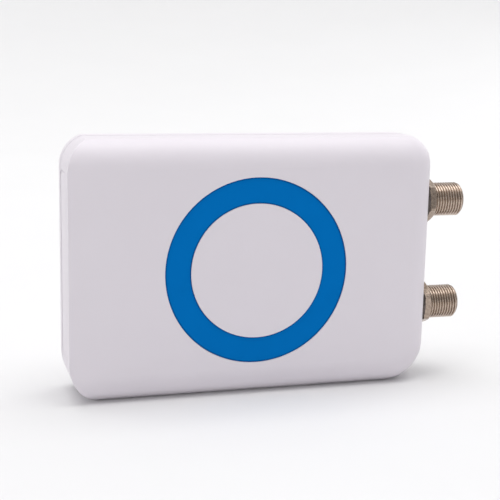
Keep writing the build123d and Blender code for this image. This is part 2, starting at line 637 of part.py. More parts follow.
def circuit_board():
    """Board with notches for the jacks and the switch, and holes for the casing screws."""
    width = BOARD_RIGHT_X - BOARD_LEFT_X
    middle = (BOARD_LEFT_X + BOARD_RIGHT_X) / 2
    plane = Plane(origin=(middle, BOARD_REAR_Y, 0), x_dir=(1, 0, 0), z_dir=(0, -1, 0))
    board = extrude(plane * RectangleRounded(width, 2 * BOARD_HALF_HEIGHT, BOARD_CORNER), BOARD_THICKNESS)
    low = POWER_JACK_Z - POWER_JACK_SIZE / 2 - BOARD_NOTCH_GAP
    high = AV_JACK_Z + AV_JACK_SIZE / 2 + BOARD_NOTCH_GAP
    x0 = PANEL_INNER_X - POWER_JACK_LENGTH - BOARD_NOTCH_GAP
    board = board - block(x0, RIGHT_X, -REAR_Y, REAR_Y, low, high)
    half = SWITCH_FRAME_LENGTH / 2 + BOARD_NOTCH_GAP
    board = board - block(SWITCH_NOTCH_X, RIGHT_X, -REAR_Y, REAR_Y, SWITCH_Z - half, SWITCH_Z + half)
    for x, z in SCREW_SPOTS:
        board = board - rod_y(SCREW_RADIUS + SEAT_GAP, -REAR_Y, REAR_Y, x, z)
    return board


def shield_frame():
    """Folded sheet wall of the shield can, with a divider that leaves a passage at the board."""
    x0, x1 = CAN_LEFT_X, CAN_LEFT_X + CAN_WIDTH
    y0 = BOARD_FRONT_Y - CAN_DEPTH
    inner = CAN_HALF_HEIGHT - CAN_SHEET
    frame = block(x0, x1, y0, BOARD_FRONT_Y, -CAN_HALF_HEIGHT, CAN_HALF_HEIGHT)
    frame = frame - block(x0 + CAN_SHEET, x1 - CAN_SHEET, y0 - OVERCUT, BOARD_FRONT_Y + OVERCUT,
                          -inner, inner)
    divider = block(CAN_DIVIDER_X, CAN_DIVIDER_X + CAN_SHEET, y0, BOARD_FRONT_Y, -inner, inner)
    half = CAN_PASSAGE_WIDTH / 2
    passage = block(CAN_DIVIDER_X - OVERCUT, CAN_DIVIDER_X + OVERCUT, BOARD_FRONT_Y - CAN_PASSAGE_DEPTH,
                    BOARD_FRONT_Y + OVERCUT, -half, half)
    return frame + divider - passage


def shield_lid():
    """Lid that springs over the can's wall, with a skirt cut into fingers and a trimming hole."""
    edge = LID_GAP + CAN_SHEET
    x0, x1 = CAN_LEFT_X - edge, CAN_LEFT_X + CAN_WIDTH + edge
    half = CAN_HALF_HEIGHT + edge
    y0 = BOARD_FRONT_Y - CAN_DEPTH - CAN_SHEET
    y1 = y0 + CAN_SHEET + LID_SKIRT
    inner = half - CAN_SHEET
    lid = block(x0, x1, y0, y1, -half, half)
    lid = lid - block(x0 + CAN_SHEET, x1 - CAN_SHEET, y0 + CAN_SHEET, y1 + OVERCUT, -inner, inner)
    cut_y = y0 + 2 * CAN_SHEET
    half_cut = LID_CUT_WIDTH / 2
    for step in range(1, LID_CUTS_ALONG + 1):
        x = x0 + (x1 - x0) * step / (LID_CUTS_ALONG + 1)
        lid = lid - block(x - half_cut, x + half_cut, cut_y, y1 + OVERCUT, -half - OVERCUT, half + OVERCUT)
    for step in range(1, LID_CUTS_UP + 1):
        z = -half + 2 * half * step / (LID_CUTS_UP + 1)
        lid = lid - block(x0 - OVERCUT, x1 + OVERCUT, cut_y, y1 + OVERCUT, z - half_cut, z + half_cut)
    return lid - rod_y(LID_HOLE_RADIUS, y0 - OVERCUT, y0 + OVERCUT, x=COIL_X, z=COIL_Z)


def on_board(width, height, z_size, x, z):
    """A box that stands on the front side of the board."""
    half = z_size / 2
    return block(x - width / 2, x + width / 2, BOARD_FRONT_Y - height, BOARD_FRONT_Y, z - half, z + half)


def modulator_chip():
    """Sixteen-lead chip with bent leads that stand on the board."""
    body_rear = BOARD_FRONT_Y - CHIP_LIFT
    half_length = CHIP_LENGTH / 2
    half_width = CHIP_WIDTH / 2
    chip = block(CHIP_X - half_length, CHIP_X + half_length, body_rear - CHIP_THICKNESS, body_rear,
                 CHIP_Z - half_width, CHIP_Z + half_width)
    lead_y = body_rear - LEAD_HEIGHT
    half = LEAD_THICKNESS / 2
    for side in (-1, 1):
        root = CHIP_Z + side * half_width
        tip = root + side * LEAD_REACH
        foot = tip - side * LEAD_FOOT
        for step in range(LEADS_PER_SIDE):
            x = CHIP_X + (step - (LEADS_PER_SIDE - 1) / 2) * LEAD_PITCH
            z0, z1 = min(root, tip), max(root, tip)
            chip = chip + block(x - half, x + half, lead_y, lead_y + LEAD_THICKNESS, z0, z1)
            z0, z1 = min(foot, tip), max(foot, tip)
            chip = chip + block(x - half, x + half, lead_y, BOARD_FRONT_Y, z0, z1)
    return chip


def coil_can():
    can = on_board(COIL_SIZE, COIL_HEIGHT, COIL_SIZE, COIL_X, COIL_Z)
    can = fillet(can.edges().filter_by(Axis.Y), COIL_ROUND)
    top = BOARD_FRONT_Y - COIL_HEIGHT - OVERCUT
    return can - rod_y(COIL_BORE_RADIUS, top, BOARD_FRONT_Y - COIL_BORE_FLOOR, COIL_X, COIL_Z)


def coil_core():
    """Slotted ferrite core, turned through the hole in the lid to trim the coil."""
    y0 = BOARD_FRONT_Y - COIL_HEIGHT + COIL_CORE_DEPTH
    radius = COIL_BORE_RADIUS - COIL_CORE_GAP
    core = rod_y(radius, y0, BOARD_FRONT_Y - COIL_BORE_FLOOR, COIL_X, COIL_Z)
    half = COIL_CORE_SLOT / 2
    reach = radius - half
    return core - block(COIL_X - reach, COIL_X + reach, y0 - OVERCUT, y0 + COIL_CORE_SLOT,
                        COIL_Z - half, COIL_Z + half)


def crystal_can():
    can = on_board(CRYSTAL_LENGTH, CRYSTAL_HEIGHT, CRYSTAL_WIDTH, CRYSTAL_X, CRYSTAL_Z)
    return fillet(can.edges().filter_by(Axis.Y), CRYSTAL_ROUND)


def chokes():
    """Drum chokes standing on the board, each with a waist for its winding."""
    found = []
    for x, z in CHOKE_SPOTS:
        drum = rod_y(CHOKE_RADIUS, BOARD_FRONT_Y - CHOKE_HEIGHT, BOARD_FRONT_Y, x, z)
        low = BOARD_FRONT_Y - CHOKE_HEIGHT + CHOKE_FLANGE
        high = BOARD_FRONT_Y - CHOKE_FLANGE
        waist = rod_y(CHOKE_RADIUS + OVERCUT, low, high, x, z)
        waist = waist - rod_y(CHOKE_WAIST_RADIUS, low, high, x, z)
        found.append(drum - waist)
    return found


def splitter_core():
    """Two-hole ferrite core of the antenna splitter."""
    core = on_board(CORE_LENGTH, CORE_HEIGHT, CORE_WIDTH, CORE_X, CORE_Z)
    core = fillet(core.edges().filter_by(Axis.Z), CORE_ROUND)
    for side in (-1, 1):
        place = Pos(CORE_X + side * CORE_HOLE_PITCH / 2, BOARD_FRONT_Y - CORE_HEIGHT / 2, CORE_Z)
        core = core - place * Cylinder(CORE_HOLE_RADIUS, CORE_WIDTH + 2 * OVERCUT)
    return core


def regulator():
    """Voltage regulator lying on its tab, with three legs."""
    x, z = REGULATOR_X, REGULATOR_Z
    half = REGULATOR_WIDTH / 2
    end = REGULATOR_LENGTH / 2
    tab_y = BOARD_FRONT_Y - REGULATOR_TAB
    body = block(x - half, x + half, tab_y - REGULATOR_THICKNESS, tab_y, z - end, z + end)
    body = body + block(x - half, x + half, tab_y, BOARD_FRONT_Y, z, z + end + REGULATOR_TAB_REACH)
    body = body + block(x - half, x + half, tab_y, BOARD_FRONT_Y, z - end, z)
    half_leg = REGULATOR_LEG_WIDTH / 2
    for step in (-1, 0, 1):
        leg = x + step * REGULATOR_LEG_PITCH
        body = body + block(leg - half_leg, leg + half_leg, tab_y, BOARD_FRONT_Y,
                            z - end - REGULATOR_LEG_REACH, z - end)
    return body


def capacitors():
    """Electrolytic capacitors, each with the crimp near its base."""
    found = []
    crimp_rear = BOARD_FRONT_Y - CRIMP_LIFT
    crimp_front = crimp_rear - CRIMP_WIDTH
    for (x, z), radius, height in zip(CAPACITOR_SPOTS, CAPACITOR_RADII, CAPACITOR_HEIGHTS):
        can = rod_y(radius, BOARD_FRONT_Y - height, BOARD_FRONT_Y, x, z)
        can = chamfer(can.edges().sort_by(Axis.Y)[0], CAPACITOR_CHAMFER)
        crimp = rod_y(radius + OVERCUT, crimp_front, crimp_rear, x, z)
        crimp = crimp - rod_y(radius - CRIMP_DEPTH, crimp_front, crimp_rear, x, z)
        found.append(can - crimp)
    return found


def diodes():
    """Rectifier diodes lying on the board, with leads bent down to it."""
    found = []
    y = BOARD_FRONT_Y - DIODE_LIFT
    half = DIODE_LENGTH / 2
    reach = DIODE_LEAD_SPAN / 2
    for x, z in DIODE_SPOTS:
        body = rod_x(DIODE_RADIUS, x - half, x + half, y, z)
        lead = rod_x(DIODE_LEAD_RADIUS, x - reach, x + reach, y, z)
        left_leg = rod_y(DIODE_LEAD_RADIUS, y, BOARD_FRONT_Y, x - reach, z)
        right_leg = rod_y(DIODE_LEAD_RADIUS, y, BOARD_FRONT_Y, x + reach, z)
        found.append(body + lead + left_leg + right_leg)
    return found


def chip_components():
    """Rows of small chip resistors and capacitors."""
    found = []
    for z, height in CHIP_ROW_HEIGHTS:
        for step in range(CHIP_ROW_COUNT):
            x = CHIP_ROW_START + step * CHIP_ROW_PITCH
            found.append(on_board(CHIP_PART_LENGTH, height, CHIP_PART_WIDTH, x, z))
    return found


def case_screws():
    """Pan-head screws with a cross recess, from the rear into the front bosses."""
    found = []
    head_y = SCREW_SEAT_Y + SCREW_HEAD_HEIGHT
    y0 = head_y - SCREW_CROSS_DEPTH
    y1 = head_y + OVERCUT
    arm = SCREW_CROSS_LENGTH / 2
    half = SCREW_CROSS_WIDTH / 2
    for x, z in SCREW_SPOTS:
        screw = rod_y(SCREW_RADIUS, SCREW_SEAT_Y - SCREW_LENGTH, SCREW_SEAT_Y, x, z)
        screw = chamfer(screw.edges().sort_by(Axis.Y)[0], SCREW_TIP_CHAMFER)
        head = rod_y(SCREW_HEAD_RADIUS, SCREW_SEAT_Y, head_y, x, z)
        head = chamfer(head.edges().sort_by(Axis.Y)[-1], SCREW_HEAD_CHAMFER)
        cross = block(x - arm, x + arm, y0, y1, z - half, z + half)
        cross = cross + block(x - half, x + half, y0, y1, z - arm, z + arm)
        found.append(screw + head - cross)
    return found


def rubber_feet():
    found = []
    y0 = REAR_Y - FOOT_RECESS
    for x, z in FOOT_SPOTS:
        foot = rod_y(FOOT_RADIUS, y0, y0 + FOOT_THICKNESS, x, z)
        found.append(chamfer(foot.edges().sort_by(Axis.Y)[-1], FOOT_CHAMFER))
    return found


def write(name, shape):
    """Lifts a piece, or a group of pieces, onto the standing surface and writes it."""
    if isinstance(shape, list):
        shape = Compound(children=[Part() + piece for piece in shape])
    lifted = Pos(0, 0, HALF_HEIGHT) * shape
    export_step(lifted, os.path.join("parts", name + ".step"))


def main():
    os.makedirs("parts", exist_ok=True)
    pieces = {
        "front_shell": front_shell(),
        "rear_shell": rear_shell(),
        "blue_ring": blue_ring(),
        "left_end_plate": left_end_plate(),
        "right_end_panel": right_end_panel(),
        "power_jack_housing": power_jack_housing(),
        "power_jack_pin": power_jack_pin(),
        "power_jack_spring": power_jack_spring(),
        "av_jack_housing": av_jack_housing(),
        "av_jack_contacts": av_jack_contacts(),
        "switch_frame": switch_frame(),
        "channel_slider": channel_slider(),
        "switch_base": switch_base(),
        "circuit_board": circuit_board(),
        "shield_frame": shield_frame(),
        "shield_lid": shield_lid(),
        "modulator_chip": modulator_chip(),
        "coil_can": coil_can(),
        "coil_core": coil_core(),
        "crystal_can": crystal_can(),
        "chokes": chokes(),
        "splitter_core": splitter_core(),
        "regulator": regulator(),
        "capacitors": capacitors(),
        "diodes": diodes(),
        "chip_components": chip_components(),
        "case_screws": case_screws(),
        "rubber_feet": rubber_feet(),
    }
    for side, z in CONNECTOR_HEIGHTS.items():
        pieces[side + "_connector_body"] = connector_body(z)
        pieces[side + "_connector_washer"] = connector_washer(z)
        pieces[side + "_connector_nut"] = connector_nut(z, NUT_TURNS[side])
        pieces[side + "_connector_insulator"] = connector_insulator(z)
        pieces[side + "_connector_contact"] = connector_contact(z)
    for name, shape in pieces.items():
        write(name, shape)


main()
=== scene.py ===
import math

import bpy
from mathutils import Matrix, Vector


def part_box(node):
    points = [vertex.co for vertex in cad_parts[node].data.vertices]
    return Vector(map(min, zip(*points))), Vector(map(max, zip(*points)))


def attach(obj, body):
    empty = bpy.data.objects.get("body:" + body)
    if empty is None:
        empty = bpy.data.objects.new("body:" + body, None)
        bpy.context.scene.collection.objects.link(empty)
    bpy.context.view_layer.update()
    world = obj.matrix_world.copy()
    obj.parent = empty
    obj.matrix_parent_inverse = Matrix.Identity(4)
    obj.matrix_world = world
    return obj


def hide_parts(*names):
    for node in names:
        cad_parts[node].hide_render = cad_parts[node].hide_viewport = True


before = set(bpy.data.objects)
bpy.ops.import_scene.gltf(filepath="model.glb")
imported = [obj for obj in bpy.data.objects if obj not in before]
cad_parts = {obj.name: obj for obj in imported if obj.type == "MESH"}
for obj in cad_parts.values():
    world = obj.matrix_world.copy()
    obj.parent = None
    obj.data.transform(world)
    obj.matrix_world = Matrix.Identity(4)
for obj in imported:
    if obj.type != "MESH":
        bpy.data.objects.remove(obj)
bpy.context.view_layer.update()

# Sizes and places are in millimetres, angles in degrees, and colours in linear red, green and blue.
MM = 0.001

# The camera, fitted to the ring and the casing's outline in the photograph.
# It aims past a point near the ring's middle and stands off by a number of ring radii.
RING_RADIUS = 25.0
CAMERA_PIVOT = (-0.2, -10.0, 34.21)
CAMERA_AIM_RIGHT = -0.084
CAMERA_AIM_UP = 0.226
CAMERA_DISTANCE = 11.76
CAMERA_YAW = 16.58
CAMERA_PITCH = 11.12
CAMERA_ROLL = -1.21
FOCAL_PIXELS = 1119.0
PICTURE_PIXELS = 500
SENSOR_WIDTH = 36.0
CLIP_START = 10.0
CLIP_END = 20000.0

# The range that most of a noise's values lie in, and the part of it that shows as tarnish
NOISE_RANGE = (0.25, 0.75)
TARNISH_RANGE = (0.35, 0.7)

# Wear along edges: how far a bevel turns the surface where wear begins and where it is full, and its patches
WEAR_RANGE = (0.998, 0.9)
WEAR_PATCH = 0.9
WEAR_LEAST = 0.3
PLASTIC_WEAR_WIDTH = 0.25
METAL_WEAR_WIDTH = 0.15
BEVEL_SAMPLES = 4

# Relief of fine grains, and gloss, which changes over patches of so many grains
RELIEF_DEPTH = 0.05
RELIEF_DETAIL = 4.0
METAL_GRAIN = 0.08
GLOSS_PATCH_GRAINS = 6
LEAST_ROUGHNESS = 0.03
PLASTIC_UNEVENNESS = 0.06
METAL_UNEVENNESS = 0.1

# Blue ring, with a painted line of shade along both edges where it lies in its groove
RING_INNER_RADIUS = 18.0
RING_SHADE_WIDTH = 0.55
RING_SHADE_STRENGTH = 0.85
RING_BLUE = (0.0002, 0.168, 0.533)
RING_PATCH = (0.0002, 0.162, 0.515)
RING_PAINTED_SHADE = (0.0001, 0.085, 0.29)

# Printed circuit board
BOARD_GREEN = (0.012, 0.085, 0.035)
BOARD_PATCH = (0.02, 0.14, 0.05)
TRACK_GREEN = (0.05, 0.25, 0.08)
TRACK_SPACING = 4.0
TRACK_EDGE = (0.03, 0.05)

# Sleeve of the capacitors
SLEEVE_NAVY = (0.012, 0.014, 0.03)
SLEEVE_PATCH = (0.02, 0.024, 0.05)
SLEEVE_STRIPE = (0.5, 0.5, 0.48)
STRIPE_SPACING = 14.0
STRIPE_EDGE = (0.97, 0.99)

# Nickel of the threaded barrels, with painted shade in the thread's valleys and painted highlights on its
# crests, by how high up the thread it lies
NICKEL = (0.56, 0.465, 0.395)
NICKEL_TARNISH = (0.46, 0.375, 0.31)
NICKEL_VALLEY_SHADE = (0.28, 0.22, 0.18)
NICKEL_CREST_HIGHLIGHT = (0.66, 0.57, 0.49)
VALLEY_SHADE_RANGE = (0.1, 0.55)
CREST_HIGHLIGHT_RANGE = (0.8, 1.0)
CREST = "crest"
PLAIN_CREST = 0.5

# Round and hexagonal meshes
ROUND_STEPS = 72
ROUND_ANGLES = [2 * math.pi * i / ROUND_STEPS for i in range(ROUND_STEPS)]
SIXTH_TURN = math.pi / 3
SHARP_ANGLE = 40.0

# Coaxial thread, 3/8 inch with 32 turns to the inch. Shares of its height are flat at the root and the crest.
THREAD_PITCH = 25.4 / 32
THREAD_DEPTH = 0.46
THREAD_ROOT = 0.12
THREAD_CREST = 0.18
STEPS_PER_PITCH = 12

# The rest of a connector's body
BARREL_RADIUS = 4.7
BORE_RADIUS = 3.0
NECK_RADIUS = 4.4
TIP_CHAMFER = 0.7
MOUTH_CHAMFER = 0.2
FLANGE_WIDTH = 11.0
FLANGE_CHAMFER = 0.3
FLANGE_EDGE = 0.1

# Hexagonal nuts, each left at the angle that the photograph shows
NUT_WIDTH = 11.1
NUT_HOLE_RADIUS = 4.45
NUT_CHAMFER = 0.5
NUT_CHAMFER_STEPS = 8
NUT_TURNS = {"upper": 21.0, "lower": 35.0}

# Paper sweep: a flat disc whose rim curves up all round
PAPER_WHITE = (0.80, 0.797, 0.803)
PAPER_PATCH = (0.79, 0.787, 0.793)
FLOOR_RADIUS = 450.0
SWEEP_RADIUS = 1500.0
SWEEP_ANGLE = 48.0
SWEEP_STEPS = 16
SWEEP_SIDES = 96

# A soft patch of painted shade on the paper beside the photographer, which the connectors reflect
SHADE_GREY = (0.3, 0.3, 0.3)
SHADE_MIDDLE = (470, -990, 200)
SHADE_CORE = 170.0
SHADE_EDGE = 560.0

# The room: its brightness at eye level and overhead, and the rise over which it changes
ROOM_LOW = 0.52
ROOM_HIGH = 0.72
ROOM_RISE = (0.1, 0.85)

# The room's dim side, as a direction from the object, how near to it the light fades, and to what share
DIM_SIDE = (-0.26, -0.94, 0.22)
DIM_RANGE = (0.6, 0.9)
DIM_SHARE = 0.4

# Soft boxes: name, place, width and height, power in watts, and what each points at
CASING_MIDDLE = (0, 0, 34)
BACKDROP_MIDDLE = (0, 1250, 180)
LIGHTS = [
    ("top_box", (0, -30, 1500), (1450, 1180), 15.1, CASING_MIDDLE),
    ("right_box", (750, 450, 420), (600, 600), 0.8, CASING_MIDDLE),
    ("left_box", (-800, -150, 300), (500, 500), 0.3, CASING_MIDDLE),
    ("back_box", (0, 450, 800), (1500, 300), 1.2, BACKDROP_MIDDLE),
]


def clamp(value):
    """Keeps a value between 0 and 1."""
    return min(1.0, max(0.0, value))


def camera_axes():
    """The camera's directions to the right, down and ahead."""
    yaw = math.radians(CAMERA_YAW)
    pitch = math.radians(CAMERA_PITCH)
    roll = math.radians(CAMERA_ROLL)
    ahead = Vector((math.sin(yaw) * math.cos(pitch), math.cos(yaw) * math.cos(pitch), -math.sin(pitch)))
    level = Vector((math.cos(yaw), -math.sin(yaw), 0))
    down = ahead.cross(level)
    right = level * math.cos(roll) + down * math.sin(roll)
    down = down * math.cos(roll) - level * math.sin(roll)
    return right, down, ahead


def add_camera():
    """Stands the camera where the photograph was taken from."""
    right, down, ahead = camera_axes()
    aim = Vector(CAMERA_PIVOT) + Vector((CAMERA_AIM_RIGHT, 0, CAMERA_AIM_UP)) * RING_RADIUS
    place = aim - ahead * CAMERA_DISTANCE * RING_RADIUS
    turn = Matrix((right, -down, -ahead)).transposed()
    data = bpy.data.cameras.new("camera")
    data.sensor_fit = "HORIZONTAL"
    data.sensor_width = SENSOR_WIDTH
    data.lens = FOCAL_PIXELS / PICTURE_PIXELS * SENSOR_WIDTH
    data.clip_start = CLIP_START * MM
    data.clip_end = CLIP_END * MM
    camera = bpy.data.objects.new("camera", data)
    camera.matrix_world = Matrix.Translation(place * MM) @ turn.to_4x4()
    bpy.context.collection.objects.link(camera)
    bpy.context.scene.camera = camera


def map_range(tree, value, source, target, curve="LINEAR"):
    """Maps a value from a source range onto a target range and keeps it inside."""
    node = tree.nodes.new("ShaderNodeMapRange")
    node.interpolation_type = curve
    node.inputs["From Min"].default_value, node.inputs["From Max"].default_value = source
    node.inputs["To Min"].default_value, node.inputs["To Max"].default_value = target
    tree.links.new(value, node.inputs["Value"])
    return node.outputs["Result"]


def vector_value(tree, operation, first, second):
    """The value of a vector operation on an output and on another output or a constant."""
    node = tree.nodes.new("ShaderNodeVectorMath")
    node.operation = operation
    tree.links.new(first, node.inputs[0])
    if isinstance(second, bpy.types.NodeSocket):
        tree.links.new(second, node.inputs[1])
    else:
        node.inputs[1].default_value = second
    return node.outputs["Value"]


def product(tree, first, second):
    """Two values multiplied."""
    node = tree.nodes.new("ShaderNodeMath")
    node.operation = "MULTIPLY"
    tree.links.new(first, node.inputs[0])
    tree.links.new(second, node.inputs[1])
    return node.outputs["Value"]


class Surface:
    """A material under construction: its shader, and the colour built up so far."""

    def __init__(self, name, roughness, metallic=0.0, specular=0.5):
        self.material = bpy.data.materials.new(name)
        self.material.use_nodes = True
        self.tree = self.material.node_tree
        self.shader = self.tree.nodes["Principled BSDF"]
        self.shader.inputs["Metallic"].default_value = metallic
        self.shader.inputs["Specular IOR Level"].default_value = specular
        self.roughness = roughness
        self.place = self.tree.nodes.new("ShaderNodeTexCoord").outputs["Object"]
        self.colour = None

    def stretched(self, scale):
        """The place on the piece, scaled by its own amount along each axis."""
        mapping = self.tree.nodes.new("ShaderNodeMapping")
        mapping.inputs["Scale"].default_value = scale
        self.tree.links.new(self.place, mapping.inputs["Vector"])
        return mapping.outputs["Vector"]

    def texture(self, kind, size_mm, vector=None):
        """A texture node of about the given size."""
        node = self.tree.nodes.new(kind)
        node.inputs["Scale"].default_value = 1.0 / (size_mm * MM)
        self.tree.links.new(vector or self.place, node.inputs["Vector"])
        return node

    def noise(self, size_mm, detail=3.0, vector=None):
        """Soft random patches of about the given size."""
        node = self.texture("ShaderNodeTexNoise", size_mm, vector)
        node.inputs["Detail"].default_value = detail
        return node.outputs["Fac"]

    def spread(self, value, low, high, source=NOISE_RANGE, curve="LINEAR"):
        """Maps a value onto the range from low to high."""
        return map_range(self.tree, value, source, (low, high), curve)

    def paint(self, colour, amount=None):
        """Lays a colour over what is there by an amount, which the first colour doesn't need."""
        node = self.tree.nodes.new("ShaderNodeMix")
        node.data_type = "RGBA"
        node.inputs["B"].default_value = (*colour, 1.0)
        if self.colour is None:
            node.inputs["A"].default_value = (*colour, 1.0)
        else:
            self.tree.links.new(self.colour, node.inputs["A"])
            self.tree.links.new(amount, node.inputs["Factor"])
        self.colour = node.outputs["Result"]

    def edges(self, width_mm, most):
        """How near a point is to a sharp edge, broken up by patches."""
        bevel = self.tree.nodes.new("ShaderNodeBevel")
        bevel.samples = BEVEL_SAMPLES
        bevel.inputs["Radius"].default_value = width_mm * MM
        normal = self.tree.nodes.new("ShaderNodeNewGeometry").outputs["Normal"]
        turned = vector_value(self.tree, "DOT_PRODUCT", bevel.outputs["Normal"], normal)
        near = self.spread(turned, 0.0, most, WEAR_RANGE)
        patches = self.spread(self.noise(WEAR_PATCH), WEAR_LEAST, 1.0)
        return product(self.tree, near, patches)

    def finish(self, grain_mm, grain, uneven=PLASTIC_UNEVENNESS, grain_vector=None):
        """Links the colour, and gives the surface uneven gloss and a fine relief of grains."""
        self.tree.links.new(self.colour, self.shader.inputs["Base Color"])
        height = self.noise(grain_mm, RELIEF_DETAIL, grain_vector)
        low = max(LEAST_ROUGHNESS, self.roughness - uneven)
        high = min(1.0, self.roughness + uneven)
        gloss = self.spread(self.noise(grain_mm * GLOSS_PATCH_GRAINS), low, high)
        self.tree.links.new(gloss, self.shader.inputs["Roughness"])
        relief = self.tree.nodes.new("ShaderNodeBump")
        relief.inputs["Strength"].default_value = grain
        relief.inputs["Distance"].default_value = RELIEF_DEPTH * MM
        self.tree.links.new(height, relief.inputs["Height"])
        self.tree.links.new(relief.outputs["Normal"], self.shader.inputs["Normal"])
        return self.material


def moulding(name, colour, patch, roughness, specular=0.4, patch_mm=9.0, wear=0.3, worn=None,
             grain_mm=0.12, grain=0.12):
    """Moulded plastic or rubber: soft tone patches, fine grain, and edges rubbed lighter."""
    s = Surface(name, roughness, specular=specular)
    s.paint(colour)
    s.paint(patch, s.spread(s.noise(patch_mm, detail=2.0), 0.0, 1.0))
    lighter = tuple(min(1.0, c * 1.15 + 0.02) for c in colour)
    s.paint(worn or lighter, s.edges(PLASTIC_WEAR_WIDTH, wear))
    return s.finish(grain_mm, grain)


def metal(name, colour, tarnish, worn, roughness, patch_mm=0.8, grain=0.15, brushed=None):
    """Plated or sheet metal: tarnish in patches, bright worn edges, and brush marks if wanted."""
    s = Surface(name, roughness, metallic=1.0)
    s.paint(colour)
    s.paint(tarnish, s.spread(s.noise(patch_mm, detail=5.0), 0.0, 0.9, TARNISH_RANGE))
    s.paint(worn, s.edges(METAL_WEAR_WIDTH, most=0.6))
    grain_vector = s.stretched(brushed) if brushed else None
    return s.finish(METAL_GRAIN, grain, METAL_UNEVENNESS, grain_vector)


def ring_material():
    """Deep blue moulding, with a painted line of shade at both edges, by distance from the ring's axis."""
    s = Surface("blue_moulding", roughness=0.5, specular=0.015)
    s.paint(RING_BLUE)
    s.paint(RING_PATCH, s.spread(s.noise(size_mm=7.0, detail=2.0), 0.0, 1.0))
    low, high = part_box("blue_ring")
    middle = ((low[0] + high[0]) / 2, 0.0, (low[2] + high[2]) / 2)
    out = vector_value(s.tree, "DISTANCE", s.stretched((1.0, 0.0, 1.0)), middle)
    # Painted shade: a thin dark line along the outer and the inner edge of the ring
    for edge, inward in ((RING_RADIUS, -1), (RING_INNER_RADIUS, 1)):
        begins = (edge + inward * RING_SHADE_WIDTH) * MM
        full = (edge + inward * RING_SHADE_WIDTH / 2) * MM
        s.paint(RING_PAINTED_SHADE, s.spread(out, 0.0, RING_SHADE_STRENGTH, (begins, full)))
    return s.finish(grain_mm=0.15, grain=0.08)


def board_material():
    """Green board with paler copper tracks under the lacquer."""
    s = Surface("board_green", roughness=0.35)
    s.paint(BOARD_GREEN)
    s.paint(BOARD_PATCH, s.spread(s.noise(size_mm=14.0, detail=1.0), 0.0, 0.6))
    tracks = s.texture("ShaderNodeTexVoronoi", TRACK_SPACING)
    tracks.feature = "DISTANCE_TO_EDGE"
    s.paint(TRACK_GREEN, s.spread(tracks.outputs["Distance"], 0.8, 0.0, TRACK_EDGE))
    return s.finish(grain_mm=0.2, grain=0.1)


def sleeve_material():
    """Dark capacitor sleeve with pale stripes."""
    s = Surface("capacitor_sleeve", roughness=0.35, specular=0.45)
    s.paint(SLEEVE_NAVY)
    s.paint(SLEEVE_PATCH, s.spread(s.noise(size_mm=3.0, detail=2.0), 0.0, 1.0))
    bands = s.texture("ShaderNodeTexWave", STRIPE_SPACING)
    bands.bands_direction = "X"
    s.paint(SLEEVE_STRIPE, s.spread(bands.outputs["Fac"], 0.0, 0.9, STRIPE_EDGE))
    return s.finish(grain_mm=0.15, grain=0.08)


def nickel_material():
    """Warm dull nickel, with painted shade in the thread's valleys and painted highlights on its crests."""
    s = Surface("thread_nickel", roughness=0.22, metallic=1.0)
    s.paint(NICKEL)
    s.paint(NICKEL_TARNISH, s.spread(s.noise(size_mm=1.2, detail=4.0), 0.0, 0.7, TARNISH_RANGE))
    crest = s.tree.nodes.new("ShaderNodeAttribute")
    crest.attribute_name = CREST
    # Painted shade in the thread's valleys
    s.paint(NICKEL_VALLEY_SHADE, s.spread(crest.outputs["Fac"], 0.6, 0.0, VALLEY_SHADE_RANGE))
    # Painted highlights on the thread's crests
    s.paint(NICKEL_CREST_HIGHLIGHT, s.spread(crest.outputs["Fac"], 0.0, 0.4, CREST_HIGHLIGHT_RANGE))
    return s.finish(grain_mm=0.1, grain=0.06)


def nut_material():
    """The same warm nickel, duller and more tarnished, on the nuts."""
    return metal("nut_metal", colour=(0.46, 0.37, 0.305), tarnish=(0.3, 0.235, 0.19),
                 worn=(0.8, 0.72, 0.64), roughness=0.24, grain=0.06)


def paper_material():
    """Plain white studio paper, with painted shade at one place beside the photographer."""
    s = Surface("studio_paper", roughness=0.9, specular=0.1)
    s.paint(PAPER_WHITE)
    s.paint(PAPER_PATCH, s.spread(s.noise(size_mm=60.0), 0.0, 1.0))
    away = vector_value(s.tree, "DISTANCE", s.place, Vector(SHADE_MIDDLE) * MM)
    # Painted shade: a soft grey patch on the paper, darkest at its middle
    s.paint(SHADE_GREY, s.spread(away, 1.0, 0.0, (SHADE_CORE * MM, SHADE_EDGE * MM), "SMOOTHSTEP"))
    return s.finish(grain_mm=0.6, grain=0.05)


